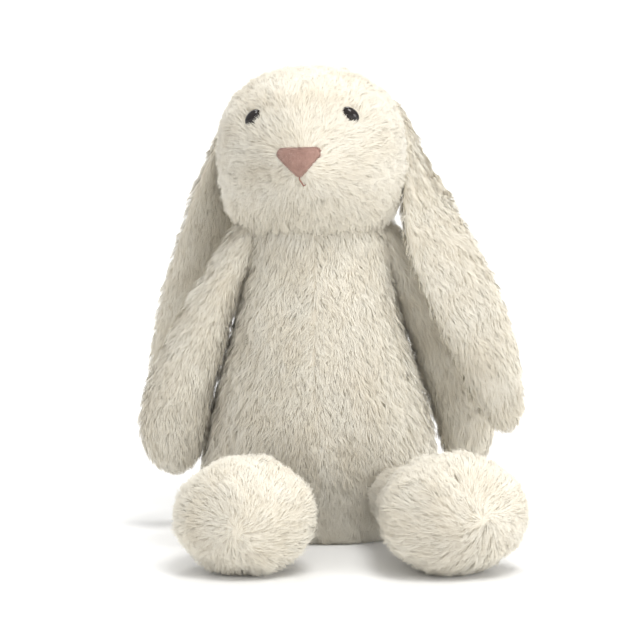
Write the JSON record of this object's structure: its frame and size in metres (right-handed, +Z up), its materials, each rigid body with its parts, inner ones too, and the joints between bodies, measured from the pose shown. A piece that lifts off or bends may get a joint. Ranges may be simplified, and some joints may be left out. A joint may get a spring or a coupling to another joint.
{
  "type": "stuffed bunny",
  "caption": "Seated plush bunny toy with long hanging ears, round feet and a small stitched nose; head, ears, arms and legs turn at their sewn seams.",
  "frame": {"origin": "middle of the flat seat, on the surface that the toy sits on", "axes": "+Z up; the toy faces -Y; +X is the toy's own left"},
  "size_m": [0.2156, 0.2357, 0.2665],
  "materials": {
    "plush_cream": "short dense polyester plush, cream, brushed downwards",
    "plush_underside": "the same plush where it is shaded and rubbed",
    "nose_fabric": "dusty pink velveteen",
    "eye_black": "glossy black moulded plastic",
    "washer_clear": "milky moulded plastic",
    "stuffing_fibre": "loose white polyester fibre",
    "pellet_bag": "small cotton bag of plastic pellets",
    "seam_thread": "heavy cream thread",
    "rose_thread": "dusty pink embroidery thread"
  },
  "bodies": {
    "body": {"body_front_left_panel": "plush_cream", "body_front_right_panel": "plush_cream", "body_back_panel": "plush_cream", "body_seat_panel": "plush_underside", "body_pellet_bag": "pellet_bag", "body_stuffing": "stuffing_fibre", "tail_cover": "plush_cream", "tail_stuffing": "stuffing_fibre"},
    "neck_seam": {"neck_seam_thread": "seam_thread"},
    "head": {"head_left_panel": "plush_cream", "head_right_panel": "plush_cream", "head_gusset": "plush_cream", "head_stuffing": "stuffing_fibre", "eye_left": "eye_black", "eye_right": "eye_black", "eye_washer_left": "washer_clear", "eye_washer_right": "washer_clear", "nose": "nose_fabric", "mouth_stitch": "rose_thread"},
    "ear_left_seam": {"ear_left_seam_thread": "seam_thread"},
    "ear_left": {"ear_left_front_panel": "plush_cream", "ear_left_back_panel": "plush_cream", "ear_left_padding": "stuffing_fibre"},
    "arm_left_seam": {"arm_left_seam_thread": "seam_thread"},
    "arm_left": {"arm_left_front_panel": "plush_cream", "arm_left_back_panel": "plush_cream", "arm_left_stuffing": "stuffing_fibre"},
    "leg_left_seam": {"leg_left_seam_thread": "seam_thread"},
    "leg_left": {"leg_left_top_panel": "plush_cream", "leg_left_under_panel": "plush_cream", "foot_left_sole": "plush_underside", "leg_left_stuffing": "stuffing_fibre", "foot_left_pellet_bag": "pellet_bag"},
    "ear_right_seam": {"ear_right_seam_thread": "seam_thread"},
    "ear_right": {"ear_right_front_panel": "plush_cream", "ear_right_back_panel": "plush_cream", "ear_right_padding": "stuffing_fibre"},
    "arm_right_seam": {"arm_right_seam_thread": "seam_thread"},
    "arm_right": {"arm_right_front_panel": "plush_cream", "arm_right_back_panel": "plush_cream", "arm_right_stuffing": "stuffing_fibre"},
    "leg_right_seam": {"leg_right_seam_thread": "seam_thread"},
    "leg_right": {"leg_right_top_panel": "plush_cream", "leg_right_under_panel": "plush_cream", "foot_right_sole": "plush_underside", "leg_right_stuffing": "stuffing_fibre", "foot_right_pellet_bag": "pellet_bag"}
  },
  "joints": [
    {"name": "neck_turn", "type": "hinge", "parent": "body", "child": "neck_seam", "pos_m": [-0.004, 0.003, 0.1733], "axis": [0, 0, 1], "range_deg": [-25, 8]},
    {"name": "neck_nod", "type": "hinge", "parent": "neck_seam", "child": "head", "pos_m": [-0.004, 0.003, 0.1733], "axis": [1, 0, 0], "range_deg": [-10, 6]},
    {"name": "ear_left_hang", "type": "hinge", "parent": "head", "child": "ear_left_seam", "pos_m": [0.043, 0.0265, 0.24], "axis": [1, 0, 0], "range_deg": [-6, 10]},
    {"name": "ear_left_lift", "type": "hinge", "parent": "ear_left_seam", "child": "ear_left", "pos_m": [0.043, 0.0265, 0.24], "axis": [0.3746, -0.9272, 0], "range_deg": [0, 100]},
    {"name": "ear_right_hang", "type": "hinge", "parent": "head", "child": "ear_right_seam", "pos_m": [-0.0465, 0.0355, 0.24], "axis": [1, 0, 0], "range_deg": [-6, 10]},
    {"name": "ear_right_lift", "type": "hinge", "parent": "ear_right_seam", "child": "ear_right", "pos_m": [-0.0465, 0.0355, 0.24], "axis": [0.6157, 0.788, 0], "range_deg": [0, 100]},
    {"name": "arm_left_swing", "type": "hinge", "parent": "body", "child": "arm_left_seam", "pos_m": [0.04, 0.006, 0.1675], "axis": [1, 0, 0], "range_deg": [0, 80]},
    {"name": "arm_left_lift", "type": "hinge", "parent": "arm_left_seam", "child": "arm_left", "pos_m": [0.04, 0.006, 0.1675], "axis": [0, -1, 0], "range_deg": [0, 60]},
    {"name": "arm_right_swing", "type": "hinge", "parent": "body", "child": "arm_right_seam", "pos_m": [-0.0435, -0.004, 0.1675], "axis": [-1, 0, 0], "range_deg": [0, 80]},
    {"name": "arm_right_lift", "type": "hinge", "parent": "arm_right_seam", "child": "arm_right", "pos_m": [-0.0435, -0.004, 0.1675], "axis": [0, 1, 0], "range_deg": [0, 80]},
    {"name": "leg_left_swing", "type": "hinge", "parent": "body", "child": "leg_left_seam", "pos_m": [0.044, -0.0655, 0.028], "axis": [-1, 0, 0], "range_deg": [0, 45]},
    {"name": "leg_left_splay", "type": "hinge", "parent": "leg_left_seam", "child": "leg_left", "pos_m": [0.044, -0.0655, 0.028], "axis": [0, 0, 1], "range_deg": [-12, 20]},
    {"name": "leg_right_swing", "type": "hinge", "parent": "body", "child": "leg_right_seam", "pos_m": [-0.039, -0.0685, 0.028], "axis": [-1, 0, 0], "range_deg": [0, 45]},
    {"name": "leg_right_splay", "type": "hinge", "parent": "leg_right_seam", "child": "leg_right", "pos_m": [-0.039, -0.0685, 0.028], "axis": [0, 0, -1], "range_deg": [-12, 20]}
  ],
  "couplings": [
    {"joint": "ear_left_hang", "follows": "neck_nod", "ratio": -1},
    {"joint": "ear_right_hang", "follows": "neck_nod", "ratio": -1}
  ]
}
